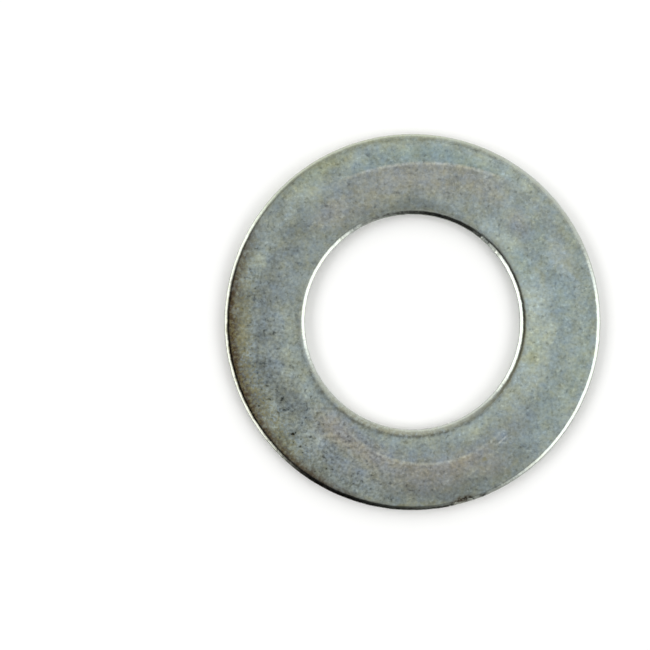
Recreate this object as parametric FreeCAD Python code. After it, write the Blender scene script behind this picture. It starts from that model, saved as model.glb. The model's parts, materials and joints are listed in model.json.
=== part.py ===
# Flat steel washer, stamped from strip and zinc plated, lying on its lower face.
# The rim and the bore were sheared in one stroke, so both have the corner that the strip
# pulls down before it shears on the upper face, and both are torn towards the lower face.
# Lengths are in millimetres. Z is the bore's axis, and Z = 0 is the lower face.
import FreeCAD, Part
import math
import os

from FreeCAD import Vector

# Overall sizes
RIM_DIAMETER = 44.45
BORE_DIAMETER = 25.4
THICKNESS = 1.6

# Rolled corners at the upper face. A wide arc leaves the face, and a tight shoulder takes
# over where the slope has reached the shoulder angle. Angles are in degrees.
RIM_ROLL_RADIUS = 1.2
RIM_SHOULDER_RADIUS = 0.1
RIM_SHOULDER_ANGLE = 30.0
BORE_ROLL_RADIUS = 1.6
BORE_SHOULDER_RADIUS = 0.1
BORE_SHOULDER_ANGLE = 30.0

# Burnished bands, the upright stretch that the cutting edges left below each rolled corner
RIM_BAND_HEIGHT = 0.5
BORE_BAND_HEIGHT = 0.5

# Torn zones, which lean away from each band by this much at the lower face
RIM_TEAR_SETBACK = 0.07
BORE_TEAR_FLARE = 0.08

# Lower corners, rounded by tumbling
LOWER_CORNER_RADIUS = 0.06

# Dent on the rim's rolled corner, pressed in by a ball. Its bearing turns from +X to +Y.
DENT_BEARING = 286.0
DENT_BALL_RADIUS = 1.3
DENT_DEPTH = 0.24

NODE = "flat_washer"

rim_radius = RIM_DIAMETER / 2
bore_radius = BORE_DIAMETER / 2
centre = Vector(0, 0, 0)
axis = Vector(0, 0, 1)


class RolledCorner:
    """Two tangent arcs in the section, from the level face down to the upright band.

    edge_radius is the band's distance from the axis. away is +1 where the edge looks away
    from the axis, as the rim does, and -1 where it looks towards it, as the bore does.
    """

    def __init__(self, edge_radius, away, roll_radius, shoulder_radius, shoulder_angle):
        self.away = away
        self.roll_radius = roll_radius
        self.shoulder_radius = shoulder_radius
        self.shoulder_angle = shoulder_angle

        # The arcs meet where their centres and the meeting point are in line.
        apart = roll_radius - shoulder_radius
        roll_height = THICKNESS - roll_radius
        shoulder_height = roll_height + apart * math.cos(math.radians(shoulder_angle))
        self.shoulder_centre = Vector(edge_radius - away * shoulder_radius, 0, shoulder_height)
        self.roll_centre = self.shoulder_centre - self.normal(shoulder_angle) * apart

        self.face_end = self.on_roll(0)
        self.band_top = self.on_shoulder(90)

    def normal(self, slope):
        """Outward normal where the surface slopes down by this many degrees."""
        turn = math.radians(slope)
        return Vector(self.away * math.sin(turn), 0, math.cos(turn))

    def on_roll(self, slope):
        """Point of the wide arc that has this slope."""
        return self.roll_centre + self.normal(slope) * self.roll_radius

    def on_shoulder(self, slope):
        """Point of the tight arc that has this slope."""
        return self.shoulder_centre + self.normal(slope) * self.shoulder_radius

    def edges(self):
        """The wide arc and the tight one, each through the middle of its slopes."""
        meeting = self.on_roll(self.shoulder_angle)
        roll_middle = self.on_roll(self.shoulder_angle / 2)
        shoulder_middle = self.on_shoulder((self.shoulder_angle + 90) / 2)
        roll = Part.Arc(self.face_end, roll_middle, meeting)
        shoulder = Part.Arc(meeting, shoulder_middle, self.band_top)
        return [roll.toShape(), shoulder.toShape()]


rim_corner = RolledCorner(rim_radius, 1, RIM_ROLL_RADIUS, RIM_SHOULDER_RADIUS, RIM_SHOULDER_ANGLE)
bore_corner = RolledCorner(
    bore_radius, -1, BORE_ROLL_RADIUS, BORE_SHOULDER_RADIUS, BORE_SHOULDER_ANGLE
)


def section():
    """The washer's right-hand section, with the lower corners still sharp."""
    rim_band_foot = rim_corner.band_top - axis * RIM_BAND_HEIGHT
    rim_foot = Vector(rim_radius - RIM_TEAR_SETBACK, 0, 0)
    bore_band_foot = bore_corner.band_top - axis * BORE_BAND_HEIGHT
    bore_foot = Vector(bore_radius + BORE_TEAR_FLARE, 0, 0)

    edges = [
        Part.makeLine(bore_corner.face_end, rim_corner.face_end),
        *rim_corner.edges(),
        Part.makeLine(rim_corner.band_top, rim_band_foot),
        Part.makeLine(rim_band_foot, rim_foot),
        Part.makeLine(rim_foot, bore_foot),
        Part.makeLine(bore_foot, bore_band_foot),
        Part.makeLine(bore_band_foot, bore_corner.band_top),
        *bore_corner.edges(),
    ]
    return Part.Face(Part.Wire(Part.__sortEdges__(edges)))


def lower_corners(blank):
    """The two circles where the torn zones meet the lower face."""
    on_lower_face = blank.BoundBox.ZMin + LOWER_CORNER_RADIUS / 2
    return [edge for edge in blank.Edges if edge.BoundBox.ZMax < on_lower_face]


def dent_ball():
    """Ball that bites the rim's rolled corner, square to it where the two arcs meet."""
    struck = rim_corner.on_roll(RIM_SHOULDER_ANGLE)
    outward = rim_corner.normal(RIM_SHOULDER_ANGLE)
    ball = Part.makeSphere(DENT_BALL_RADIUS, struck + outward * (DENT_BALL_RADIUS - DENT_DEPTH))
    ball.rotate(centre, axis, DENT_BEARING)
    return ball


def washer():
    """The section turned about the bore's axis, its lower corners rounded and its rim dented."""
    blank = section().revolve(centre, axis, 360)
    tumbled = blank.makeFillet(LOWER_CORNER_RADIUS, lower_corners(blank))
    return tumbled.cut(dent_ball()).Solids[0]


os.makedirs("parts", exist_ok=True)
shape = washer()
shape.exportStep(f"parts/{NODE}.step")
print(NODE, shape.ShapeType, round(shape.Volume, 2), "mm3, valid:", shape.isValid())
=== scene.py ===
"""Dresses a stamped, zinc-plated flat washer and lights it from above, as on a white table.

The washer's steel ring is one surface of revolution with the marks that stamping, plating and
handling left on it, and with painted light and shade in its colour: glints, dark lines along
its edges that stand in for dark reflection and shade, and some lighter patches on its faces.
Lengths are in metres unless a name or a comment says millimetres, and bearings are in degrees,
anticlockwise from +X as seen from above.
"""

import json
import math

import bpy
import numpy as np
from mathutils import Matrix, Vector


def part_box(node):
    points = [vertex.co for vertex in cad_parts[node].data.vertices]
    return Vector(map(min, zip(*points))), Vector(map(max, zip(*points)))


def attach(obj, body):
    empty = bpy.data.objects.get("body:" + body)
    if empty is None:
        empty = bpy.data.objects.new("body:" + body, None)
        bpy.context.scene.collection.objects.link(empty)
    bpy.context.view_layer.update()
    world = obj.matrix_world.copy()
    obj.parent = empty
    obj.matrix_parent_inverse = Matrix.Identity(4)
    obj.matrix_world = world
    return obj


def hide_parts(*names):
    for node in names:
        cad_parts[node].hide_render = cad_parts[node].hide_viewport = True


bl_info = {
    "name": "Flat Washer",
    "version": (1, 0, 0),
    "blender": (4, 5, 0),
    "location": "3D View > Sidebar > Washer",
    "description": "Builds a stamped flat washer, its zinc plating and its photo stage",
    "category": "Object",
}

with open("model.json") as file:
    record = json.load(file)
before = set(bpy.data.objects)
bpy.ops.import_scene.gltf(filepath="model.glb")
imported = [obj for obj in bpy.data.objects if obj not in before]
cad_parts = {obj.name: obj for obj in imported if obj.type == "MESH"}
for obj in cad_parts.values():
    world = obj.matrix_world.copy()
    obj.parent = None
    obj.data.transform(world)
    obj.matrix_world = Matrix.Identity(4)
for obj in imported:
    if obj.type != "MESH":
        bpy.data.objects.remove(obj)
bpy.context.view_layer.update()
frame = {"record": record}

MM = 0.001
NODE = "flat_washer"
BODY = "root"

# Sizes read from the frame
RIM_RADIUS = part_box(NODE)[1].x
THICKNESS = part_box(NODE)[1].z
BORE_MOUNT = next(m for m in frame["record"]["mounts"] if m["name"] == "bore")
BORE_RADIUS = BORE_MOUNT["dims"]["r_mm"] * MM

# Where the washer and the picture's middle lie in the photograph, in its pixels
PHOTO_SIZE = 650
PHOTO_WASHER_X = 412.4
PHOTO_WASHER_Y = 322.1
PHOTO_RIM_RADIUS = 188.2


def towards(bearing):
    """Unit vector in the floor's plane at a bearing."""
    turn = math.radians(bearing)
    return (math.cos(turn), math.sin(turn), 0.0)


# The ring's surface


def arc_points(centre_r, centre_z, radius, away, slopes):
    """Points of a section's arc: centre + radius times (away sin slope, cos slope).

    away is +1 on the rim and -1 in the bore. slopes is a column of angles in radians, and the
    other values may be rows with one value per bearing.
    """
    return centre_r + away * radius * np.sin(slopes), centre_z + radius * np.cos(slopes)


def rolled_corner(edge_radius, away, roll, shoulder, shoulder_slope, steps):
    """The corner pulled down in stamping: a wide arc, then a tight one down to the upright.

    Both arcs have the same normal where they meet, at shoulder_slope, so their centres lie
    apart by the difference of their radii along it. Returns r, z of each arc.
    """
    slope = math.radians(shoulder_slope)
    centre_z = THICKNESS - roll + (roll - shoulder) * np.cos(slope)
    centre_r = edge_radius - away * shoulder
    roll_r = centre_r - away * (roll - shoulder) * np.sin(slope)
    wide = np.linspace(0.0, slope, steps)[:, None]
    tight = np.linspace(slope, math.pi / 2, steps)[1:, None]
    return (
        arc_points(roll_r, THICKNESS - roll, roll, away, wide),
        arc_points(centre_r, centre_z, shoulder, away, tight),
    )


# How often the waves of each uneven line go round the ring
BROAD_WAVES = (2, 3, 5, 8, 13, 21, 34, 55)
BREAK_WAVES = (3, 7, 11, 19, 31, 47)
FINE_WAVES = (37, 53, 71, 97, 131, 163, 211, 277)


def wander(bearings, rng, waves, amount):
    """A smooth closed line round the ring: a sum of cosines of falling height, +- amount."""
    total = np.zeros_like(bearings)
    for turns in waves:
        total += rng.normal() / turns**0.5 * np.cos(turns * bearings + rng.uniform(0, 2 * math.pi))
    return amount * total / np.abs(total).max()


def rough_field(rows, columns, rng, run):
    """Random heights, 0 to 1, blurred along the ring by run columns and a little across it."""
    noise = rng.normal(size=(rows, columns))
    wave = np.fft.rfftfreq(columns) * run
    noise = np.fft.irfft(np.fft.rfft(noise, axis=1) * np.exp(-wave**2 * 8), columns, axis=1)
    noise[1:-1] = (noise[:-2] + 2 * noise[1:-1] + noise[2:]) / 4
    noise -= noise.min()
    return noise / noise.max()


def ring_section(sizes, bearings, rng):
    """The closed section for every bearing: arrays r, z, then its masks rolled, burnished, torn.

    It runs out over the upper face, down the rim, in under the lower face and up the bore.
    """
    count = len(bearings)
    row = np.ones((1, count))
    steps = sizes.corner_steps

    def corner(edge_radius, away, roll, uneven):
        """Rolled corner with an uneven radius, its edge nibbled a little at random."""
        uneven = uneven + wander(bearings, rng, BROAD_WAVES, sizes.roll_wander)
        nibble = wander(bearings, rng, FINE_WAVES, 0.5) + 0.5
        worn_edge = (edge_radius - away * sizes.nibble * nibble)[None]
        radius = (roll * (1 + uneven))[None]
        return worn_edge, rolled_corner(
            worn_edge, away, radius, sizes.shoulder, sizes.shoulder_slope, steps
        )

    with_grain = sizes.rim_grain * np.cos(2 * bearings)
    lean = sizes.bore_lean * np.cos(bearings - math.radians(sizes.bore_lean_bearing))
    rim_edge, rim_arcs = corner(RIM_RADIUS, 1, sizes.rim_roll, with_grain)
    bore_edge, bore_arcs = corner(BORE_RADIUS, -1, sizes.bore_roll, lean)

    # Points crowd towards both ends of a flat face, as a cosine does.
    spread = (1 - np.cos(np.linspace(0, math.pi, sizes.face_steps)))[:, None] / 2
    inner, outer = bore_arcs[0][0][:1], rim_arcs[0][0][:1]
    face = (inner + (outer - inner) * spread, THICKNESS * np.ones_like(spread) * row)

    def edge(edge_radius, away, band_top, setback):
        """The upright band, the torn zone that leans away from it and the lower corner."""
        break_off = wander(bearings, rng, BREAK_WAVES, sizes.break_wander)[None]
        band_foot = band_top - sizes.band + break_off
        down = np.linspace(0, 1, sizes.band_steps)[1:, None]
        band = (edge_radius * row * np.ones_like(down), band_top + (band_foot - band_top) * down)
        down = np.linspace(0, 1, sizes.torn_steps)[1:, None]
        tumbled = sizes.lower_corner
        torn_r = edge_radius - away * setback * down * row
        bite = rough_field(len(down), count, rng, 5) * np.sin(math.pi * down) ** 0.5
        torn = (torn_r - away * sizes.tear_depth * bite, band_foot + (tumbled - band_foot) * down)
        turn = np.linspace(math.pi / 2, math.pi, sizes.corner_steps)[1:, None]
        foot = arc_points(edge_radius - away * (setback + tumbled), tumbled, tumbled, away, turn)
        return band, torn, (foot[0] * row, foot[1] * row)

    rim_band, rim_torn, rim_foot = edge(rim_edge, 1, rim_arcs[1][1][-1:], sizes.rim_setback)
    bore_band, bore_torn, bore_foot = edge(bore_edge, -1, bore_arcs[1][1][-1:], sizes.bore_flare)
    inner, outer = bore_foot[0][-1:], rim_foot[0][-1:]
    lower = (outer + (inner - outer) * spread[1:-1], np.zeros_like(spread[1:-1]) * row)

    def ramp(share):
        """0 where the wide arc starts, smoothly up to 1 at this share of it."""
        rise = np.minimum(np.linspace(0, 1 / share, steps), 1)
        return rise * rise * (3 - 2 * rise)

    shine, polish = ramp(0.3), ramp(0.9)
    parts = [
        (face, 0.0, 0.0, 0.0),
        (tuple(a[1:] for a in rim_arcs[0]), shine[1:], polish[1:], 0.0),
        (rim_arcs[1], 1.0, 1.0, 0.0),
        (rim_band, 1.0, 1.0, 0.0),
        (rim_torn, 0.0, 0.0, 1.0),
        (rim_foot, 0.0, 0.0, 0.5),
        (lower, 0.0, 0.0, 0.0),
        (tuple(a[::-1] for a in bore_foot), 0.0, 0.0, 0.5),
        (tuple(a[::-1] for a in bore_torn), 0.0, 0.0, 1.0),
        (tuple(a[::-1] for a in bore_band), 1.0, 1.0, 0.0),
        (tuple(a[::-1] for a in bore_arcs[1]), 1.0, 1.0, 0.0),
        (tuple(a[:0:-1] for a in bore_arcs[0]), shine[:0:-1], polish[:0:-1], 0.0),
    ]
    r = np.vstack([part[0][0] * row for part in parts])
    z = np.vstack([part[0][1] * row for part in parts])
    masks = [
        np.concatenate([np.full(len(part[0][0]), part[i]) for part in parts]) for i in (1, 2, 3)
    ]
    return r, z, masks


# The balls that press the dent: degrees from its bearing, then the share of its ball's radius and
# of its depth that each has
DENT_BALLS = ((0.0, 1.0, 1.0), (-1.9, 0.75, 0.65), (1.7, 0.7, 0.7), (-4.4, 0.25, 0.25))


def press_ball(points, bearing, ball_radius, depth, struck_r, struck_z, slope):
    """Dent: points inside a ball move out from its centre onto its surface.

    The ball sank by depth where it struck the corner, at struck_r and struck_z, and came in
    along the corner's normal there, slope degrees from upright.
    """
    turn = math.radians(slope)
    lift = ball_radius - depth
    r = struck_r + lift * math.sin(turn)
    x, y, _ = towards(bearing)
    centre = np.array([r * x, r * y, struck_z + lift * math.cos(turn)])
    apart = points - centre
    far = np.linalg.norm(apart, axis=-1, keepdims=True)
    return np.where(far < ball_radius, centre + apart * (ball_radius / far), points)


def ring_mesh(name, sizes):
    """The ring as a grid of section points by bearings, closed both ways.

    A point is (r cos bearing, r sin bearing, z) with r and z from the section.
    """
    rng = np.random.default_rng(sizes.seed)
    count = sizes.bearings
    bearings = np.arange(count) * (2 * math.pi / count)
    r, z, (rolled, burnished, torn) = ring_section(sizes, bearings, rng)
    points = np.stack([r * np.cos(bearings), r * np.sin(bearings), z], axis=-1)

    slope = math.radians(sizes.shoulder_slope)
    meeting_r = RIM_RADIUS - sizes.shoulder + sizes.shoulder * math.sin(slope)
    meeting_z = THICKNESS - (1 - math.cos(slope)) * sizes.rim_roll
    smooth = points
    for off, ball_share, depth_share in DENT_BALLS:
        points = press_ball(
            points,
            sizes.dent_bearing + off,
            sizes.dent_ball * ball_share,
            sizes.dent_depth * depth_share,
            meeting_r,
            meeting_z,
            sizes.shoulder_slope,
        )
    moved = np.linalg.norm(points - smooth, axis=-1)
    dented = np.minimum(moved / sizes.shoulder, 1.0)

    rows = len(r)
    index = np.arange(rows * count).reshape(rows, count)
    up, right = np.roll(index, -1, axis=0), np.roll(index, -1, axis=1)
    faces = np.stack([index, up, np.roll(up, -1, axis=1), right], axis=-1).reshape(-1, 4)

    mesh = bpy.data.meshes.new(name)
    mesh.vertices.add(rows * count)
    mesh.vertices.foreach_set("co", points.astype(np.float32).ravel())
    mesh.loops.add(faces.size)
    mesh.loops.foreach_set("vertex_index", faces.ravel())
    mesh.polygons.add(len(faces))
    mesh.polygons.foreach_set("loop_start", np.arange(len(faces)) * 4)
    mesh.polygons.foreach_set("use_smooth", np.ones(len(faces), bool))
    mesh.update(calc_edges=True)
    all_round = np.ones(count)
    for label, values in (
        ("rolled", rolled[:, None] * all_round),
        ("burnished", burnished[:, None] * all_round),
        ("torn", torn[:, None] * all_round),
        ("dented", dented),
    ):
        attribute = mesh.attributes.new(label, "FLOAT", "POINT")
        attribute.data.foreach_set("value", values.astype(np.float32).ravel())
    mesh.validate()
    return mesh


# Node building


class Tree:
    """Adds nodes to a node tree, each with its inputs given as values or as sockets."""

    def __init__(self, tree):
        self.tree = tree
        self.column = 0

    def node(self, kind, inputs=(), **settings):
        """A new node, laid out in rows of twelve."""
        made = self.tree.nodes.new(kind)
        for key, value in settings.items():
            setattr(made, key, value)
        self.column += 1
        made.location = (self.column % 12 * 190, -(self.column // 12) * 320)
        for key, value in dict(inputs).items():
            self.put(made.inputs[key], value)
        return made

    def put(self, socket, value):
        """Links a socket to the input, or sets the input's own value."""
        if isinstance(value, bpy.types.NodeSocket):
            self.tree.links.new(value, socket)
        else:
            socket.default_value = value

    def math(self, operation, *values):
        """The result of a sum on numbers."""
        made = self.node("ShaderNodeMath", operation=operation)
        for socket, value in zip(made.inputs, values):
            self.put(socket, value)
        return made.outputs[0]

    def vector(self, operation, *values):
        """The result of a sum on vectors: a number for a length or a product, else a vector."""
        made = self.node("ShaderNodeVectorMath", operation=operation)
        for socket, value in zip(made.inputs, values):
            self.put(socket, value)
        scalar = operation in ("LENGTH", "DOT_PRODUCT")
        return made.outputs["Value" if scalar else "Vector"]

    def scaled(self, vector, factor):
        """The vector times a number."""
        made = self.node("ShaderNodeVectorMath", operation="SCALE")
        self.put(made.inputs[0], vector)
        self.put(made.inputs["Scale"], factor)
        return made.outputs["Vector"]

    def ramp_down(self, value, start, end):
        """1 below start, 0 above end, smooth between."""
        made = self.node(
            "ShaderNodeMapRange",
            {"Value": value, "From Min": start, "From Max": end, "To Min": 1.0, "To Max": 0.0},
            interpolation_type="SMOOTHSTEP",
        )
        return made.outputs["Result"]

    def remap(self, value, low, high, new_low=0.0, new_high=1.0):
        """new_low at low and below, new_high at high and above, straight between."""
        made = self.node(
            "ShaderNodeMapRange",
            {
                "Value": value,
                "From Min": low,
                "From Max": high,
                "To Min": new_low,
                "To Max": new_high,
            },
        )
        return made.outputs["Result"]

    def blend(self, factor, a, b):
        """The number a where factor is 0 and b where it is 1."""
        made = self.node("ShaderNodeMix", data_type="FLOAT")
        self.put(made.inputs["Factor"], factor)
        numbers = [s for s in made.inputs if s.name in ("A", "B") and s.type == "VALUE"]
        self.put(numbers[0], a)
        self.put(numbers[1], b)
        return next(s for s in made.outputs if s.type == "VALUE")

    def mix(self, factor, a, b):
        """The colour a where factor is 0 and b where it is 1."""
        made = self.node("ShaderNodeMix", data_type="RGBA")
        self.put(made.inputs["Factor"], factor)
        colours = [s for s in made.inputs if s.type == "RGBA"]
        self.put(colours[0], a if isinstance(a, bpy.types.NodeSocket) else (*a, 1.0))
        self.put(colours[1], b if isinstance(b, bpy.types.NodeSocket) else (*b, 1.0))
        return next(s for s in made.outputs if s.type == "RGBA")

    def noise(self, vector, scale, detail, roughness, output="Fac"):
        """Random clouds, scale of them to a unit of the vector."""
        made = self.node(
            "ShaderNodeTexNoise",
            {"Vector": vector, "Scale": scale, "Detail": detail, "Roughness": roughness},
        )
        return made.outputs[output]


def new_group(name, inputs, outputs):
    """An empty node group with its sockets, its Tree, its input node and its output node."""
    group = bpy.data.node_groups.new(name, "ShaderNodeTree")
    for label, kind in inputs:
        group.interface.new_socket(label, in_out="INPUT", socket_type=kind)
    for label, kind in outputs:
        group.interface.new_socket(label, in_out="OUTPUT", socket_type=kind)
    tree = Tree(group)
    return group, tree, tree.node("NodeGroupInput"), tree.node("NodeGroupOutput")


def ring_patch_group():
    """Mask of a soft patch that follows the ring: 1 in its middle, 0 at its border."""
    group, tree, given, out = new_group(
        "Ring Patch",
        (
            ("Position", "NodeSocketVector"),
            ("Direction", "NodeSocketVector"),
            ("Radius", "NodeSocketFloat"),
            ("Half Angle", "NodeSocketFloat"),
            ("Half Width", "NodeSocketFloat"),
        ),
        (("Mask", "NodeSocketFloat"),),
    )
    flat = tree.vector("MULTIPLY", given.outputs["Position"], (1.0, 1.0, 0.0))
    length = tree.vector("LENGTH", flat)
    along = tree.vector("DOT_PRODUCT", tree.vector("NORMALIZE", flat), given.outputs["Direction"])
    turn = tree.math("ARCCOSINE", along)
    off = tree.math("SUBTRACT", length, given.outputs["Radius"])
    aside = tree.math("DIVIDE", turn, given.outputs["Half Angle"])
    across = tree.math("DIVIDE", off, given.outputs["Half Width"])
    far = tree.math("MULTIPLY_ADD", across, across, tree.math("MULTIPLY", aside, aside))
    tree.put(out.inputs["Mask"], tree.ramp_down(tree.math("SQRT", far), 0.1, 1.25))
    return group


# The noise of each random pattern: how many clouds to a millimetre, detail and roughness
DRIFT = (0.28, 3.0, 0.6)
JITTER = (1.6, 2.0, 0.6)
CLOUD = (0.5, 4.0, 0.7)
FILM_THICKNESS = (0.9, 3.0, 0.65)
PITS = (1.8, 2.0, 0.6)
SPECKLE = (2.0, 3.0, 0.7)
FLECKS = (2.2, 2.0, 0.6)
BEADS = (2.4, 2.0, 0.7)
GRAIN = (2.6, 3.0, 0.6)
DABS = (3.0, 2.0, 0.6)
DINGS = (4.5, 2.0, 0.6)


def rub_arc_group():
    """Masks of a thin circular rub mark, broken up along its length, and of the film beside it."""
    group, tree, given, out = new_group(
        "Rub Arc",
        (
            ("Position", "NodeSocketVector"),
            ("Centre", "NodeSocketVector"),
            ("Radius", "NodeSocketFloat"),
            ("Direction", "NodeSocketVector"),
            ("Half Angle", "NodeSocketFloat"),
            ("Line Width", "NodeSocketFloat"),
            ("Break Up", "NodeSocketFloat"),
            ("Reach", "NodeSocketFloat"),
        ),
        (
            ("Line", "NodeSocketFloat"),
            ("Inner", "NodeSocketFloat"),
            ("Outer", "NodeSocketFloat"),
        ),
    )
    flat = tree.vector("MULTIPLY", given.outputs["Position"], (1.0, 1.0, 0.0))
    spoke = tree.vector("SUBTRACT", flat, given.outputs["Centre"])
    off = tree.math("SUBTRACT", tree.vector("LENGTH", spoke), given.outputs["Radius"])
    away = tree.math("ABSOLUTE", off)
    along = tree.vector("DOT_PRODUCT", tree.vector("NORMALIZE", spoke), given.outputs["Direction"])
    turn = tree.math("DIVIDE", tree.math("ARCCOSINE", along), given.outputs["Half Angle"])
    window = tree.ramp_down(turn, 0.45, 1.0)

    beads = tree.noise(flat, *BEADS)
    kept = tree.blend(given.outputs["Break Up"], 1.0, tree.remap(beads, 0.38, 0.58))
    line = tree.math("MULTIPLY", tree.ramp_down(away, 0.0, given.outputs["Line Width"]), window)
    tree.put(out.inputs["Line"], tree.math("MULTIPLY", line, kept))

    near = tree.math("MULTIPLY", tree.ramp_down(away, 0.2, given.outputs["Reach"]), window)
    outside = tree.remap(off, -0.15, 0.15)
    outer = tree.math("MULTIPLY", near, outside)
    tree.put(out.inputs["Outer"], outer)
    tree.put(out.inputs["Inner"], tree.math("SUBTRACT", near, outer))
    return group


# How strong a patch of film looks
FAINT, SOFT, CLEAR, STRONG, FULL = 0.2, 0.3, 0.4, 0.55, 0.7

# How strong the clouds and the grain are where the plating is sound, and where it is worn
CLOUDS_SOUND_AND_WORN = (0.8, 1.7)
GRAIN_SOUND_AND_WORN = (0.78, 1.55)

# Soft patches of the film that dulls the zinc, anticlockwise: the bearing, radius, half angle and
# half width of each, in degrees and millimetres, its tint and how strong that is. The faint pale
# patches at bearings 100, 276, 338 and 345 are painted light, lifting the face where the room's
# light falls short.
PATCHES = (
    (0, 14.4, 48, 1.7, "pale_and_painted_light", FULL),
    (6, 17.4, 20, 1.5, "blue", SOFT),
    (14, 17.8, 48, 2.3, "teal", CLEAR),
    (20, 21.1, 24, 1.3, "green", FAINT),
    (24, 14.6, 12, 1.5, "blue", SOFT),
    (24, 18.7, 10, 1.5, "lilac", SOFT),
    (24, 18.7, 10, 1.5, "pale_and_painted_light", SOFT),
    (28, 14.6, 14, 1.6, "green", CLEAR),
    (43, 17.2, 7, 1.4, "lilac", CLEAR),
    (46, 14.6, 12, 1.5, "pale_and_painted_light", CLEAR),
    (60, 17.9, 12, 1.6, "rose", SOFT),
    (60, 21.0, 24, 1.2, "pale_and_painted_light", CLEAR),
    (76, 17.6, 20, 1.7, "rose", FAINT),
    (86, 20.1, 27, 1.1, "teal", SOFT),
    (86, 20.1, 27, 1.1, "green", FAINT),
    (88, 13.8, 28, 1.2, "shadow", STRONG),
    (95, 16.4, 36, 2.0, "rose", CLEAR),
    (98, 21.6, 30, 0.9, "straw", SOFT),
    # Painted light: a faint pale patch.
    (100, 20.8, 24, 1.2, "pale_and_painted_light", FAINT),
    (116, 14.4, 16, 1.3, "rose", SOFT),
    (118, 14.0, 20, 1.2, "shadow", SOFT),
    (118, 18.4, 9, 1.4, "blue", SOFT),
    (122, 21.0, 13, 1.4, "straw", STRONG),
    (128, 16.0, 12, 1.8, "rose", CLEAR),
    (129, 19.8, 9, 1.4, "pale_and_painted_light", CLEAR),
    (136, 22.0, 8, 1.0, "straw", CLEAR),
    (144, 17.2, 14, 1.8, "shadow", SOFT),
    (160, 19.7, 9, 1.4, "pale_and_painted_light", SOFT),
    (166, 17.6, 17, 1.6, "shadow", CLEAR),
    (180, 20.2, 14, 1.3, "ochre", CLEAR),
    (185, 16.8, 50, 2.4, "blue", FAINT),
    (190, 17.7, 16, 1.6, "shadow", CLEAR),
    (198, 14.6, 26, 1.4, "pale_and_painted_light", SOFT),
    (201, 18.6, 12, 1.2, "shadow", SOFT),
    (212, 17.2, 14, 2.0, "shadow", CLEAR),
    (222, 20.6, 9, 1.2, "straw", SOFT),
    (233, 15.6, 13, 2.2, "rose", STRONG),
    (236, 18.7, 9, 1.5, "blue", SOFT),
    (247, 19.1, 10, 1.7, "blue", STRONG),
    (247, 19.1, 10, 1.7, "shadow", SOFT),
    (253, 15.8, 12, 1.4, "rose", SOFT),
    (260, 17.2, 12, 1.3, "shadow", SOFT),
    (262, 20.0, 10, 1.1, "shadow", FAINT),
    (268, 17.8, 44, 2.8, "rose", FAINT),
    # Painted light: a faint pale patch.
    (276, 14.0, 34, 1.2, "pale_and_painted_light", FAINT),
    (278, 18.7, 21, 2.4, "rose", STRONG),
    (276, 19.0, 20, 2.2, "shadow", SOFT),
    (283, 20.7, 22, 1.6, "shadow", STRONG),
    (292, 17.2, 13, 1.6, "rose", CLEAR),
    (300, 16.4, 12, 1.6, "shadow", FAINT),
    (300, 19.4, 8, 1.6, "rose", CLEAR),
    (305, 14.4, 18, 1.6, "pale_and_painted_light", CLEAR),
    (305, 20.0, 12, 2.0, "shadow", CLEAR),
    (317, 17.7, 10, 1.8, "lilac", SOFT),
    (320, 17.8, 16, 2.0, "shadow", SOFT),
    (326, 18.8, 22, 3.0, "teal", SOFT),
    (330, 21.2, 14, 1.2, "pale_and_painted_light", FAINT),
    # The next two are painted light: faint pale patches.
    (338, 16.4, 24, 1.8, "pale_and_painted_light", FAINT),
    (345, 20.4, 42, 2.4, "pale_and_painted_light", FAINT),
    (346, 14.8, 11, 1.3, "straw", STRONG),
    (349, 20.6, 26, 1.6, "green", SOFT),
    (352, 15.9, 34, 1.0, "pale_and_painted_light", CLEAR),
)

# Where handling has worn the plating most: bearing, radius, half angle and half width
WORN_PATCH = (214, 19.5, 72, 6.5)

# Stains and dark lines in the same way as the film, and then how blotchy each is: what lies under
# the polish of the edges, with dark lines where the rolled corners begin; what lies over it, with
# dark lines painted along the rim's shoulder and the bore's edge as dark reflection and shade,
# partly dirt; loose specks; the dent's dirt; and painted glints, bright spots that stand in for
# the light that burrs catch
STAINS_AND_DARK_LINES_UNDER = (
    # Rows at 250, 80 and 275 darken lines where the rolled corners begin.
    (250, 13.52, 95, 0.42, "edge_darkening", 0.42, 1.0),
    (80, 13.4, 90, 0.30, "edge_darkening", 0.25, 1.0),
    (80, 21.7, 100, 0.36, "edge_darkening", 0.3, 1.0),
    (165, 21.8, 26, 1.6, "brown", 0.4, 1.0),
    (184, 20.8, 36, 1.6, "ochre", 0.15, 1.0),
    (214, 20.6, 24, 1.6, "ochre", 0.15, 1.0),
    (275, 13.46, 62, 0.30, "edge_darkening", 0.5, 0.6),
    (181, 21.3, 18, 1.0, "brown", 0.3, 0.8),
    (192, 21.9, 46, 2.2, "brown", 0.8, 1.0),
    (192, 21.8, 44, 1.1, "brown", 1.0, 0.3),
    (230, 22.0, 26, 1.4, "brown", 0.8, 0.75),
    (236, 21.8, 26, 0.7, "brown", 0.6, 0.4),
    (268, 21.9, 22, 0.8, "ochre", 0.5, 1.0),
    (298, 18.3, 2.4, 0.4, "ochre", 0.7, 1.0),
)
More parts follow.
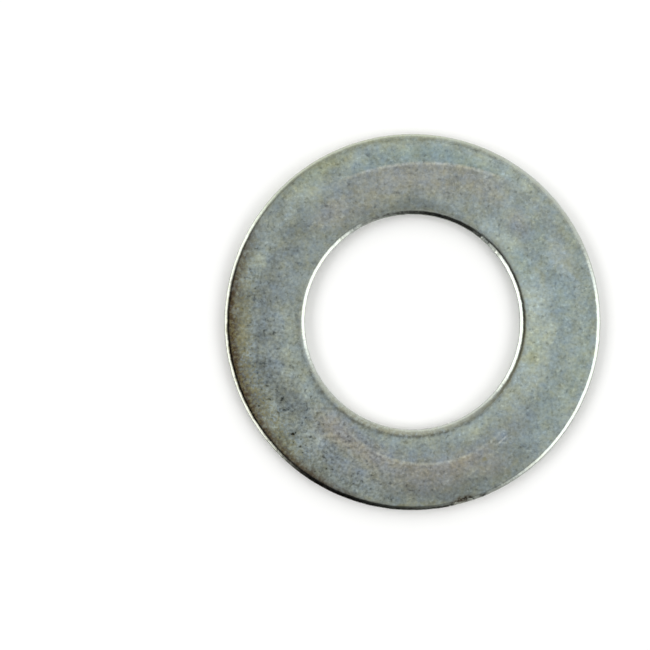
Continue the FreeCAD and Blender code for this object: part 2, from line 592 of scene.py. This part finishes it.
STAINS_AND_DARK_REFLECTIONS_OVER = (
    (182, 21.55, 28, 0.35, "brown", 0.5, 0.6),
    # The next four are painted dark reflection and shade, partly dirt: the black line inside the
    # west rim's highlight and the dark line on the south rim's shoulder.
    (192, 21.77, 50, 0.22, "dirt_and_dark_reflection", 1.0, 0.1),
    (242, 21.97, 22, 0.40, "dirt_and_dark_reflection", 0.95, 0.6),
    (264, 22.11, 22, 0.20, "dirt_and_dark_reflection", 0.85, 1.0),
    (279.5, 22.06, 5, 0.14, "dirt_and_dark_reflection", 1.0, 0.4),
    (262, 13.1, 55, 0.40, "ochre", 0.4, 0.6),
    # Painted dark reflection: the black line along the bore's upper edge.
    (86, 13.0, 38, 0.17, "dirt_and_dark_reflection", 0.8, 1.0),
    (345, 13.28, 48, 0.26, "ochre", 0.7, 0.3),
    # The next two are painted dark reflection: they darken the line along the bore's right edge
    # and dim where the bore's highlight begins.
    (5, 13.22, 50, 0.12, "dirt_and_dark_reflection", 0.4, 0.6),
    (40, 12.87, 6, 0.20, "dirt_and_dark_reflection", 0.4, 0.2),
    # Darker on the bore's rolled corner towards the lower left.
    (240, 12.95, 40, 0.35, "edge_darkening", 0.25, 0.8),
    (105, 21.98, 60, 0.40, "straw", 0.4, 0.5),
)
SPECKS = (
    (186, 20.4, 34, 2.0, "ochre", 0.65, 1.0),
    (216, 20.3, 24, 2.0, "ochre", 0.55, 1.0),
)
DENT_STAINS = (
    (285.8, 21.75, 4.5, 0.50, "brown", 1.0, 0.6),
    (286.6, 21.72, 3.4, 0.36, "dirt_and_dark_reflection", 1.0, 0.8),
    (292.2, 22.0, 1.6, 0.26, "dirt_and_dark_reflection", 0.9, 0.3),
    (296.8, 21.7, 0.5, 0.40, "shadow", 0.9, 0.2),
)
PAINTED_GLINTS = (
    # Painted glints: bright spots along the bore's edge, and one on the face, stand in for light
    # caught by burrs.
    (39.8, 12.86, 0.9, 0.16, "rubbed", 1.0, 0.0),
    (71.0, 12.82, 0.8, 0.16, "rubbed", 0.9, 0.0),
    (110.5, 12.86, 1.0, 0.14, "rubbed", 0.9, 0.0),
    (43.8, 17.4, 0.5, 0.12, "rubbed", 0.8, 0.0),
)

# Circular rub marks: centre, radius, bearing, half angle, line width, break up and strength, then
# the tints of the film inside and outside, in degrees and millimetres
RUB_ARCS = (
    ((1.45, -4.1, 0.0), 12.68, 262.0, 62, 0.30, 0.55, 0.60, "blue", "rose"),
    ((1.45, -4.1, 0.0), 13.20, 232.0, 24, 0.30, 0.60, 0.28, "rose", "rose"),
    ((1.45, -4.1, 0.0), 13.42, 313.0, 4, 0.20, 0.20, 0.60, "blue", "blue"),
    ((1.48, -5.5, 0.0), 24.27, 90.0, 30, 0.30, 0.60, 0.70, "rose", "teal"),
)


class Plating:
    """Dull passivated zinc: tinted, mottled and rubbed on the faces, bright on the sheared edges.

    Patterns follow the position in millimetres, and two copies of it that are pushed aside at
    random make ragged borders: wandering is for the film, and ragged is for stains and for the
    dark lines painted along the edges.
    """

    def __init__(self, colours, looks):
        self.colours = colours
        self.looks = looks
        self.material = bpy.data.materials.new("zinc_plate")
        self.material.use_nodes = True
        self.material.node_tree.nodes.clear()
        self.tree = tree = Tree(self.material.node_tree)
        self.patch = ring_patch_group()

        where = tree.node("ShaderNodeTexCoord").outputs["Object"]
        self.position = tree.scaled(where, 1 / MM)
        drift = self.push(DRIFT)
        jitter = self.push(JITTER)
        drifted = tree.vector("ADD", self.position, tree.scaled(drift, looks.tint_drift / MM))
        tint_jitter = tree.scaled(jitter, looks.tint_ragged / MM)
        stain_jitter = tree.scaled(jitter, looks.stain_ragged / MM)
        self.wandering = tree.vector("ADD", drifted, tint_jitter)
        self.ragged = tree.vector("ADD", self.position, stain_jitter)
        self.worn = self.masked(self.wandering, *WORN_PATCH)
        self.rolled = self.attribute("rolled")
        self.burnished = self.attribute("burnished")
        self.torn = self.attribute("torn")
        self.dented = self.attribute("dented")

    def push(self, pattern):
        """Random vector, centred on zero."""
        noise = self.tree.noise(self.position, *pattern, "Color")
        return self.tree.vector("SUBTRACT", noise, (0.5, 0.5, 0.5))

    def shifted(self, x, y):
        """The position moved aside, so that one noise doesn't repeat another."""
        return self.tree.vector("ADD", self.position, (x, y, 0.0))

    def attribute(self, name):
        """One of the masks that the mesh carries."""
        return self.tree.node("ShaderNodeAttribute", attribute_name=name).outputs["Fac"]

    def colour(self, name):
        """One of the plating's colours, by its name."""
        return tuple(getattr(self.colours, name))

    def masked(self, place, bearing, radius, half_angle, half_width):
        """Mask of one patch."""
        made = self.tree.node(
            "ShaderNodeGroup",
            node_tree=self.patch,
            inputs={
                "Position": place,
                "Direction": towards(bearing),
                "Radius": radius,
                "Half Angle": math.radians(half_angle),
                "Half Width": half_width,
            },
        )
        return made.outputs["Mask"]

    def tinted(self, colour, place, mark, kept=1.0):
        """The colour with one patch over it, where it is kept."""
        *shape, tint_name, strength = mark
        factor = self.tree.math("MULTIPLY", self.masked(place, *shape), strength)
        factor = self.tree.math("MULTIPLY", factor, kept)
        return self.tree.mix(factor, colour, self.colour(tint_name))

    def overlaid(self, colour, place, marks, blotches):
        """The colour with marks over it, stains and painted light and shade alike, which have gaps
        as far as each is blotchy.
        """
        for *mark, blotchy in marks:
            colour = self.tinted(colour, place, mark, self.tree.blend(blotchy, 1.0, blotches))
        return colour

    def film(self):
        """The plating's colour under its tinted film, with light painted in by some of the pale
        patches.
        """
        colour = self.colour("zinc")
        for mark in PATCHES:
            colour = self.tinted(colour, self.wandering, mark)
        return colour

    def rubbed(self, colour):
        """The colour with its rub marks, each the border of two tints, and their mask."""
        tree = self.tree
        group = rub_arc_group()
        marks = 0.0
        for centre, radius, bearing, half_angle, width, break_up, strength, *tints in RUB_ARCS:
            made = tree.node(
                "ShaderNodeGroup",
                node_tree=group,
                inputs={
                    "Position": self.position,
                    "Centre": centre,
                    "Radius": radius,
                    "Direction": towards(bearing),
                    "Half Angle": math.radians(half_angle),
                    "Line Width": width,
                    "Break Up": break_up,
                    "Reach": self.looks.arc_reach / MM,
                },
            )
            for side, tint_name in zip(("Inner", "Outer"), tints):
                factor = tree.math("MULTIPLY", made.outputs[side], self.looks.arc_tint)
                colour = tree.mix(factor, colour, self.colour(tint_name))
            marks = tree.math("MULTIPLY_ADD", made.outputs["Line"], strength, marks)
        return tree.mix(marks, colour, self.colour("rubbed")), marks

    def mottled(self, colour, cloud, grain):
        """The colour with clouds, grain, dark pits, light flecks and fine changes of tint."""
        tree, looks = self.tree, self.looks
        clouded = tree.blend(self.worn, *(part * looks.mottle for part in CLOUDS_SOUND_AND_WORN))
        coarse = tree.blend(self.worn, *GRAIN_SOUND_AND_WORN)
        pitted = tree.math("MULTIPLY", coarse, looks.pits)
        pits = tree.noise(self.shifted(40.0, 0.0), *PITS)
        pits = tree.remap(tree.math("MULTIPLY_ADD", self.worn, 0.015, pits), 0.58, 0.72)
        flecks = tree.remap(tree.noise(self.shifted(0.0, 40.0), *FLECKS), 0.58, 0.72)
        light = tree.math("MULTIPLY_ADD", tree.remap(cloud, 0.3, 0.7, -1.0), clouded, 1.0)
        fine = tree.remap(grain, 0.3, 0.7, -looks.grain, looks.grain)
        light = tree.math("MULTIPLY_ADD", fine, coarse, light)
        light = tree.math("SUBTRACT", light, tree.math("MULTIPLY", pits, pitted))
        light = tree.math("MULTIPLY_ADD", flecks, looks.flecks, light)

        thickness = tree.noise(self.position, *FILM_THICKNESS)
        shift = tree.remap(thickness, 0.3, 0.7, -looks.hue_noise, looks.hue_noise)
        red = tree.math("MULTIPLY", light, tree.math("MULTIPLY_ADD", shift, -0.4, 1.0))
        blue = tree.math("MULTIPLY", light, tree.math("ADD", shift, 1.0))
        gain = tree.node("ShaderNodeCombineXYZ", {"X": red, "Y": light, "Z": blue})
        return tree.vector("MULTIPLY", colour, gain.outputs[0])

    def edged(self, colour):
        """The colour with its stains, dark lines along the edges, some of them painted dark
        reflection and shade, painted glints, and the sheared edges that come through them.
        """
        tree = self.tree
        speckle = tree.noise(self.shifted(20.0, 20.0), *SPECKLE)
        blotches = tree.remap(speckle, 0.42, 0.56, self.looks.stain_gaps)
        dabs = tree.noise(self.position, *DABS)
        sparse, dense = tree.remap(dabs, 0.50, 0.60), tree.remap(dabs, 0.42, 0.54)

        colour = self.overlaid(colour, self.ragged, STAINS_AND_DARK_LINES_UNDER, blotches)
        polish = tree.math("MULTIPLY", self.burnished, 0.7)
        colour = tree.mix(polish, colour, self.colour("bright"))
        colour = tree.mix(tree.math("MULTIPLY", self.torn, 0.6), colour, self.colour("torn"))
        colour = self.overlaid(colour, self.ragged, STAINS_AND_DARK_REFLECTIONS_OVER, blotches)
        colour = self.overlaid(colour, self.ragged, SPECKS, sparse)
        colour = self.overlaid(colour, self.ragged, DENT_STAINS, dense)
        # Painted glints, bright spots that stand in for caught light, go on last.
        return self.overlaid(colour, self.position, PAINTED_GLINTS, dense)

    def roughness(self, cloud, marks):
        """Dull and cloudy on the faces, smooth on the polished edges, rough where torn."""
        tree, looks = self.tree, self.looks
        low, high = looks.roughness - looks.cloudy, looks.roughness + looks.cloudy
        value = tree.remap(cloud, 0.25, 0.75, low, high)
        for mask, change in (
            (self.rolled, looks.edge_roughness - looks.roughness),
            (marks, -0.08),
            (self.torn, 0.1),
            (self.dented, 0.4),
        ):
            value = tree.math("MULTIPLY_ADD", mask, change, value)
        return value

    def make(self):
        """The finished material."""
        tree = self.tree
        cloud = tree.noise(self.position, *CLOUD)
        grain = tree.noise(self.position, *GRAIN)
        colour, marks = self.rubbed(self.film())
        colour = self.edged(self.mottled(colour, cloud, grain))
        dings = tree.math("MULTIPLY", tree.noise(self.position, *DINGS), self.looks.edge_dings)
        height = tree.math("MULTIPLY_ADD", dings, self.burnished, grain)
        bump = {"Strength": 0.5, "Distance": 0.01 * MM, "Height": height}
        shader = tree.node(
            "ShaderNodeBsdfPrincipled",
            {
                "Base Color": colour,
                "Roughness": self.roughness(cloud, marks),
                "Metallic": self.looks.metallic,
                "Normal": tree.node("ShaderNodeBump", bump).outputs["Normal"],
            },
        )
        tree.node("ShaderNodeOutputMaterial", {"Surface": shader.outputs["BSDF"]})
        return self.material


# Stage


def floor_material(stage):
    """Matt white board that keeps its shadows, lifted to paper white for the camera."""
    material = bpy.data.materials.new("white_board")
    material.use_nodes = True
    material.node_tree.nodes.clear()
    tree = Tree(material.node_tree)
    path = tree.node("ShaderNodeLightPath")
    seen = tree.math("MAXIMUM", path.outputs["Is Camera Ray"], path.outputs["Is Glossy Ray"])
    seen = tree.math("MAXIMUM", seen, path.outputs["Is Transmission Ray"])
    matt = tree.node("ShaderNodeBsdfDiffuse", {"Color": (*stage.board, 1.0)})
    lifted = tuple(channel * stage.board_lift for channel in stage.board)
    white = tree.node("ShaderNodeBsdfDiffuse", {"Color": (*lifted, 1.0)})
    mixed = tree.node("ShaderNodeMixShader", {0: seen, 1: matt.outputs[0], 2: white.outputs[0]})
    tree.node("ShaderNodeOutputMaterial", {"Surface": mixed.outputs[0]})
    return material


# Degrees over which a window fades at its sides, its upper edge and its lower edge, each way
SIDE_FADE = 10.0
UPPER_FADE = 3.0
LOWER_FADE = 6.0

# Degrees from the zenith between which the room turns into the white horizon
HORIZON = (78.0, 84.0)


def studio_world(stage):
    """The room that the metal reflects: white overhead, darkening from the north-east to the
    south-west, with a soft window on each side and a white horizon behind the board.

    A window is a smooth patch of a direction's bearing and of its angle from the zenith.
    """
    world = bpy.data.worlds.new("studio")
    world.use_nodes = True
    world.node_tree.nodes.clear()
    tree = Tree(world.node_tree)
    direction = tree.node("ShaderNodeTexCoord").outputs["Generated"]
    parts = tree.node("ShaderNodeSeparateXYZ", {0: direction}).outputs
    from_zenith = tree.math("DEGREES", tree.math("ARCCOSINE", parts["Z"]))
    level = tree.vector("NORMALIZE", tree.vector("MULTIPLY", direction, (1.0, 1.0, 0.0)))

    lean = (stage.room_east, stage.room_north, 0.0)
    value = tree.math("ADD", tree.vector("DOT_PRODUCT", level, lean), stage.room)
    value = tree.math("MAXIMUM", value, stage.room_darkest)
    tilt = math.radians(stage.overhead_tilt)
    x, y, _ = towards(stage.overhead_bearing)
    centre = (x * math.sin(tilt), y * math.sin(tilt), math.cos(tilt))
    from_centre = tree.math("ARCCOSINE", tree.vector("DOT_PRODUCT", direction, centre))
    from_centre = tree.math("DEGREES", from_centre)
    above = tree.ramp_down(from_centre, stage.overhead_start, stage.overhead_end)
    value = tree.blend(above, value, stage.overhead)
    for side in ("north", "south", "west", "east"):
        bearing, half, start, end = (
            getattr(stage, f"{side}_{key}") for key in ("bearing", "half", "start", "end")
        )
        aside = tree.math("ARCCOSINE", tree.vector("DOT_PRODUCT", level, towards(bearing)))
        aside = tree.math("DEGREES", aside)
        across = tree.ramp_down(aside, half - SIDE_FADE, half + SIDE_FADE)
        over = tree.ramp_down(from_zenith, start - UPPER_FADE, start + UPPER_FADE)
        below = tree.math("SUBTRACT", 1.0, over)
        down = tree.ramp_down(from_zenith, end - LOWER_FADE, end + LOWER_FADE)
        window = tree.math("MULTIPLY", across, tree.math("MULTIPLY", below, down))
        value = tree.blend(window, value, getattr(stage, side))
    horizon = tree.math("SUBTRACT", 1.0, tree.ramp_down(from_zenith, *HORIZON))
    value = tree.blend(horizon, value, 1.0)

    lit = tree.node("ShaderNodeBackground", {"Color": (1.0, 1.0, 1.0, 1.0), "Strength": value})
    tree.node("ShaderNodeOutputWorld", {"Surface": lit.outputs[0]})
    return world


# Properties, operators and panel


def length(label, text, millimetres):
    """A length, shown in the scene's unit."""
    return bpy.props.FloatProperty(
        name=label, description=text, default=millimetres * MM, unit="LENGTH", precision=5)


def share(label, text, value):
    """A share of something, from 0 to 1."""
    return bpy.props.FloatProperty(
        name=label, description=text, default=value, min=0.0, max=1.0, subtype="FACTOR")


def number(label, text, value):
    """An angle in degrees, or a brightness or strength, where 1 is plain."""
    return bpy.props.FloatProperty(name=label, description=text, default=value)


def whole(label, text, value, least=0):
    """A count."""
    return bpy.props.IntProperty(name=label, description=text, default=value, min=least)


def tint(label, text, value):
    """A colour, as Blender's linear red, green and blue."""
    return bpy.props.FloatVectorProperty(
        name=label, description=text, subtype="COLOR", size=3, min=0.0, max=1.0, default=value)


class WasherSizes(bpy.types.PropertyGroup):
    rim_roll: length("Rim roll", "Radius of the wide arc of the rim's rolled corner", 1.19)
    bore_roll: length("Bore roll", "Radius of the wide arc of the bore's rolled corner", 1.5)
    shoulder: length("Shoulder", "Radius of the tight arc below each rolled corner", 0.1)
    shoulder_slope: number(
        "Shoulder slope", "Slope in degrees at which the shoulder takes over", 30.0)
    band: length("Burnished band", "Height of the upright band that the tool polished", 0.5)
    roll_wander: share("Roll wander", "How unevenly the corners roll over, as a share", 0.08)
    rim_grain: share(
        "Rim grain", "How much wider the rim rolls along the strip's grain, as a share", 0.09)
    bore_lean: share("Bore lean", "How much wider the bore rolls on one side, as a share", 0.12)
    bore_lean_bearing: number("Bore lean bearing", "Bearing of that side, in degrees", 342.0)
    nibble: length("Nibble", "How far the edges are worn in here and there", 0.03)
    break_wander: length("Break wander", "How far the band's lower end wanders up and down", 0.05)
    rim_setback: length(
        "Rim setback", "How far the rim's torn zone leans in at the lower face", 0.07)
    bore_flare: length(
        "Bore flare", "How far the bore's torn zone leans out at the lower face", 0.08)
    tear_depth: length("Tear depth", "Depth of the pits in the torn zones", 0.025)
    lower_corner: length("Lower corner", "Radius of the tumbled lower corners", 0.06)
    dent_bearing: number("Dent bearing", "Bearing of the rim's dent, in degrees from +X", 286.0)
    dent_ball: length("Dent ball", "Radius of the ball that pressed the dent", 1.3)
    dent_depth: length("Dent depth", "Depth of the dent below the rolled corner", 0.24)
    bearings: whole("Bearings", "Steps round the ring", 1080, 90)
    corner_steps: whole("Corner steps", "Points in each arc of a corner", 8, 3)
    face_steps: whole("Face steps", "Points across each flat face", 14, 4)
    band_steps: whole("Band steps", "Points down each burnished band", 3, 2)
    torn_steps: whole("Torn steps", "Points down each torn zone", 8, 3)
    seed: whole("Seed", "Picks the random marks of this washer", 7)


class PlatingColours(bpy.types.PropertyGroup):
    zinc: tint("Zinc", "The plating where it has no strong tint", (0.305, 0.346, 0.318))
    # Besides the film's pale patches, this colour paints light in four faint patches.
    pale_and_painted_light: tint("Pale", "Zinc that the film left light", (0.510, 0.592, 0.533))
    shadow: tint("Shadow", "Zinc under a dark film", (0.140, 0.155, 0.140))
    green: tint("Green", "Greenish film", (0.275, 0.357, 0.300))
    blue: tint("Blue", "Bluish film", (0.274, 0.327, 0.372))
    teal: tint("Teal", "Blue-green film", (0.276, 0.373, 0.373))
    rose: tint("Rose", "Pinkish film", (0.353, 0.334, 0.300))
    lilac: tint("Lilac", "Faint violet film", (0.328, 0.335, 0.368))
    straw: tint("Straw", "Yellowish film", (0.359, 0.386, 0.232))
    ochre: tint("Ochre", "Brownish yellow stain", (0.277, 0.257, 0.128))
    brown: tint("Brown", "Dark stain along the rim", (0.080, 0.052, 0.026))
    # This colour also paints the glints, bright spots that stand in for caught light.
    rubbed: tint("Rubbed", "Metal brightened by rubbing", (0.560, 0.580, 0.525))
    bright: tint("Bright edge", "Zinc on the burnished edges", (0.560, 0.592, 0.528))
    # Darkens the lines where the rolled corners begin, and the bore's rolled corner towards the
    # lower left.
    edge_darkening: tint("Grime", "Grime along the edges of the faces", (0.075, 0.066, 0.036))
    # This colour also paints the dark lines along the edges that stand in for dark reflection and
    # shade.
    dirt_and_dark_reflection: tint("Dirt", "Dirt and oxide in the dent and along the edges", (0.016, 0.012, 0.008))
    torn: tint("Torn edge", "Zinc on the torn zones", (0.252, 0.252, 0.217))


class PlatingLooks(bpy.types.PropertyGroup):
    metallic: share("Metallic", "Share of metal in the shading", 1.0)
    roughness: share("Roughness", "Roughness of the dull faces", 0.42)
    cloudy: share("Cloudy", "How far the clouds change that roughness", 0.06)
    edge_roughness: share("Edge roughness", "Roughness of the polished edges", 0.16)
    mottle: share("Mottle", "Light and dark clouds, as a share", 0.21)
    grain: share("Grain", "Fine light and dark grain, as a share", 0.24)
    pits: share("Pits", "How dark the fine pits are, as a share", 0.38)
    flecks: share("Flecks", "How light the fine flecks are, as a share", 0.32)
    edge_dings: number(
        "Edge dings", "How far the polished edges are dinged, against the grain", 1.5)
    hue_noise: share("Hue noise", "Fine changes of tint", 0.14)
    arc_tint: share("Arc tint", "How strongly the film changes across a rub mark", 0.35)
    arc_reach: length("Arc reach", "How far that change reaches from a rub mark", 2.2)
    stain_ragged: length("Stain raggedness", "How ragged the border of the rim's stain is", 0.4)
    stain_gaps: share("Stain gaps", "How much stain is left in its lightest spots", 0.18)
    tint_drift: length("Tint drift", "How far the tints' borders wander", 1.8)
    tint_ragged: length("Tint raggedness", "How ragged the tints' borders are", 0.9)


class StageSettings(bpy.types.PropertyGroup):
    board: tint("Board", "The white board under the washer", (0.93, 0.93, 0.92))
    board_side: length("Board side", "Length of the board's sides", 3000)
    board_lift: number("Board lift", "How much whiter the camera sees the board", 1.06)
    room: number("Room", "Brightness of the room, on the mean", 0.49)
    room_north: number("Room north", "How much brighter it is to the north", 0.42)
    room_east: number("Room east", "How much brighter it is to the east", 0.36)
    room_darkest: number("Room darkest", "Brightness of its darkest part", 0.027)
    overhead: number("Overhead", "Brightness straight above", 0.91)
    overhead_start: number(
        "Overhead start", "Degrees from the zenith where it starts to fade", 3.0)
    overhead_end: number("Overhead end", "Degrees from the zenith where it ends", 19.0)
    overhead_tilt: number(
        "Overhead tilt", "Degrees by which its middle leans away from the zenith", 8.0)
    overhead_bearing: number(
        "Overhead bearing", "Bearing that it leans towards, in degrees", 275.0)
    north: number("North window", "Brightness of the soft window in the north", 1.25)
    north_bearing: number("North bearing", "Bearing of its middle, in degrees", 112.0)
    north_half: number("North half", "Half its width, in degrees", 42.0)
    north_start: number("North start", "Degrees from the zenith at its upper edge", 42.0)
    north_end: number("North end", "Degrees from the zenith at its lower edge", 76.0)
    south: number("South window", "Brightness of the soft window in the south-east", 0.52)
    south_bearing: number("South bearing", "Bearing of its middle, in degrees", 306.0)
    south_half: number("South half", "Half its width, in degrees", 20.0)
    south_start: number("South start", "Degrees from the zenith at its upper edge", 14.0)
    south_end: number("South end", "Degrees from the zenith at its lower edge", 76.0)
    west: number("West window", "Brightness of the window in the west", 2.7)
    west_bearing: number("West bearing", "Bearing of its middle, in degrees", 184.0)
    west_half: number("West half", "Half its width, in degrees", 41.0)
    west_start: number("West start", "Degrees from the zenith at its upper edge", 32.0)
    west_end: number("West end", "Degrees from the zenith at its lower edge", 64.0)
    east: number("East window", "Brightness of the window in the east", 2.5)
    east_bearing: number("East bearing", "Bearing of its middle, in degrees", 343.0)
    east_half: number("East half", "Half its width, in degrees", 32.0)
    east_start: number("East start", "Degrees from the zenith at its upper edge", 29.0)
    east_end: number("East end", "Degrees from the zenith at its lower edge", 61.0)
    lens: number("Lens", "Focal length in millimetres", 100.0)


class WASHER_OT_ring(bpy.types.Operator):
    """Builds the steel ring with its rolled, burnished and torn edges and its plating"""

    bl_idname = "washer.ring"
    bl_label = "Build Ring"

    def execute(self, context):
        scene = context.scene
        name = "washer_ring"
        ring = bpy.data.objects.new(name, ring_mesh(name, scene.washer_sizes))
        scene.collection.objects.link(ring)
        ring.data.materials.append(Plating(scene.washer_colours, scene.washer_looks).make())
        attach(ring, BODY)
        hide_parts(NODE)
        return {"FINISHED"}


class WASHER_OT_stage(bpy.types.Operator):
    """Lays the white board and sets up the room, its windows and the camera"""

    bl_idname = "washer.stage"
    bl_label = "Build Stage"

    def execute(self, context):
        scene = context.scene
        stage, sizes = scene.washer_stage, scene.washer_sizes
        mesh = bpy.data.meshes.new("board")
        half = stage.board_side / 2
        turns = ((-1, -1), (1, -1), (1, 1), (-1, 1))
        # The board lies a hair below the washer, so that the two don't share a plane.
        mesh.from_pydata([(x * half, y * half, -0.01 * MM) for x, y in turns], [], [(0, 1, 2, 3)])
        mesh.materials.append(floor_material(stage))
        board = bpy.data.objects.new("board", mesh)
        scene.collection.objects.link(board)

        scene.world = studio_world(stage)
        camera_data = bpy.data.cameras.new("camera")
        camera_data.lens = stage.lens
        camera_data.sensor_width = 36.0
        camera_data.clip_start = 0.01
        camera = bpy.data.objects.new("camera", camera_data)
        pixel = RIM_RADIUS / PHOTO_RIM_RADIUS
        middle = PHOTO_SIZE / 2
        # The rim is widest from where its rolled corner has turned upright.
        rolled = rolled_corner(
            RIM_RADIUS, 1, sizes.rim_roll, sizes.shoulder, sizes.shoulder_slope, 2
        )
        rim_height = float(rolled[1][1][-1, 0])
        camera.location = (
            (middle - PHOTO_WASHER_X) * pixel,
            (PHOTO_WASHER_Y - middle) * pixel,
            rim_height + pixel * PHOTO_SIZE * stage.lens / camera_data.sensor_width,
        )
        scene.collection.objects.link(camera)
        scene.camera = camera
        scene.view_settings.view_transform = "Standard"
        return {"FINISHED"}


class WASHER_PT_panel(bpy.types.Panel):
    """Lists the washer's sizes, colours and stage"""

    bl_idname = "WASHER_PT_panel"
    bl_label = "Flat Washer"
    bl_space_type = "VIEW_3D"
    bl_region_type = "UI"
    bl_category = "Washer"

    def draw(self, context):
        scene = context.scene
        for label, group in (
            ("Sizes", scene.washer_sizes),
            ("Colours", scene.washer_colours),
            ("Finish", scene.washer_looks),
            ("Stage", scene.washer_stage),
        ):
            box = self.layout.box()
            box.label(text=label)
            for key in group.__annotations__:
                box.prop(group, key)
        for operator in (WASHER_OT_ring, WASHER_OT_stage):
            self.layout.operator(operator.bl_idname)


GROUPS = (
    ("washer_sizes", WasherSizes),
    ("washer_colours", PlatingColours),
    ("washer_looks", PlatingLooks),
    ("washer_stage", StageSettings),
)
CLASSES = (*(group for _, group in GROUPS), WASHER_OT_ring, WASHER_OT_stage, WASHER_PT_panel)


def register():
    for each in CLASSES:
        bpy.utils.register_class(each)
    for name, group in GROUPS:
        setattr(bpy.types.Scene, name, bpy.props.PointerProperty(type=group))


def unregister():
    for name, _ in GROUPS:
        delattr(bpy.types.Scene, name)
    for each in reversed(CLASSES):
        bpy.utils.unregister_class(each)


def main():
    """Builds the washer and its stage."""
    register()
    bpy.ops.washer.ring()
    bpy.ops.washer.stage()


if __name__ == "__main__":
    main()
